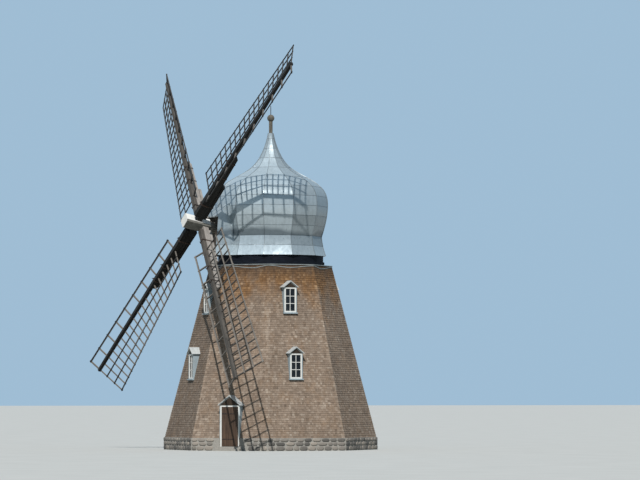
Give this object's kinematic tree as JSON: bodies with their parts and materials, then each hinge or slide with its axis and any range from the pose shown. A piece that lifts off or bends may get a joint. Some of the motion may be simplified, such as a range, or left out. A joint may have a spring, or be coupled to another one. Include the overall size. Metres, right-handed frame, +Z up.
{
  "type": "traditional windmill",
  "caption": "Shingled smock windmill with a faceted metal onion cap that turns on its curb and lattice sails on an inclined windshaft.",
  "frame": {"origin": "on the tower's axis at ground level, under the ground floor", "axes": "+Z up, the windshaft and sails face -Y at rest, +X to the right seen from the front"},
  "size_m": [16.8268, 11.0916, 19.0699],
  "materials": {
    "shingles": "split shingles, oiled red-brown, weathered grey low down",
    "fieldstone": "coursed fieldstone, lime pointed",
    "floor_stone": "stone flags",
    "floor_boards": "bare softwood boards",
    "frame_paint": "white paint",
    "window_glass": "dark panes",
    "trim_paint": "pale blue-grey paint",
    "hood_paint": "pale grey-blue paint over boards",
    "door_boards": "dark stained planks",
    "plate_lead": "dull grey flashing over timber",
    "curb_oak": "tarred oak",
    "tarred_ring": "dark navy paint",
    "cap_sheet": "galvanised sheet laid in small panels",
    "beams": "tarred oak beams",
    "finial_wood": "weathered grey-tan",
    "iron": "black wrought iron",
    "tarred_timber": "tarred near black",
    "grey_timber": "light weathered grey",
    "whip_timber": "bare timber, weathered light grey",
    "poll_paint": "white paint on weathered timber",
    "lattice_wood": "weathered laths, partly tarred"
  },
  "bodies": {
    "tower": {"curb": "curb_oak", "door_and_plain_walls": "shingles", "door_leaves": "door_boards", "first_floor": "floor_boards", "ground_floor": "floor_stone", "plinth_beside_windows": "fieldstone", "plinth_under_windows": "fieldstone", "second_floor": "floor_boards", "top_plate": "plate_lead", "window_and_door_cheeks": "trim_paint", "window_and_door_frames": "frame_paint", "window_and_door_hoods": "hood_paint", "window_glass": "window_glass", "window_sills": "trim_paint", "window_walls": "shingles"},
    "cap": {"cap_belly_first": "cap_sheet", "cap_belly_second": "cap_sheet", "cap_crown_first": "cap_sheet", "cap_crown_second": "cap_sheet", "cap_ring": "tarred_ring", "cap_skirt_first": "cap_sheet", "cap_skirt_second": "cap_sheet", "cap_spire": "cap_sheet", "hood_walls": "cap_sheet", "hood_roof": "cap_sheet", "hood_front": "cap_sheet", "sheer_beams": "beams", "tail_beam": "beams", "breast_beam": "beams", "finial_post": "finial_wood", "finial_ball": "finial_wood", "finial_rod": "iron"},
    "sails": {"windshaft": "grey_timber", "poll_end": "poll_paint", "stock_front": "tarred_timber", "stock_back": "grey_timber", "stock_clamps_front": "tarred_timber", "stock_clamps_back": "grey_timber", "stock_straps": "iron", "whips_front": "tarred_timber", "whips_back": "whip_timber", "lattice_lower_left": "lattice_wood", "lattice_lower_right": "lattice_wood", "lattice_upper_left": "lattice_wood", "lattice_upper_right": "lattice_wood"}
  },
  "joints": [
    {"name": "cap_turn", "type": "hinge", "parent": "tower", "child": "cap", "pos_m": [0, 0, 9.09], "axis": [0, 0, 1], "continuous": true},
    {"name": "sail_turn", "type": "hinge", "parent": "cap", "child": "sails", "pos_m": [0, -3.81, 10.8853], "axis": [0, 0.9781, -0.2079], "continuous": true}
  ]
}
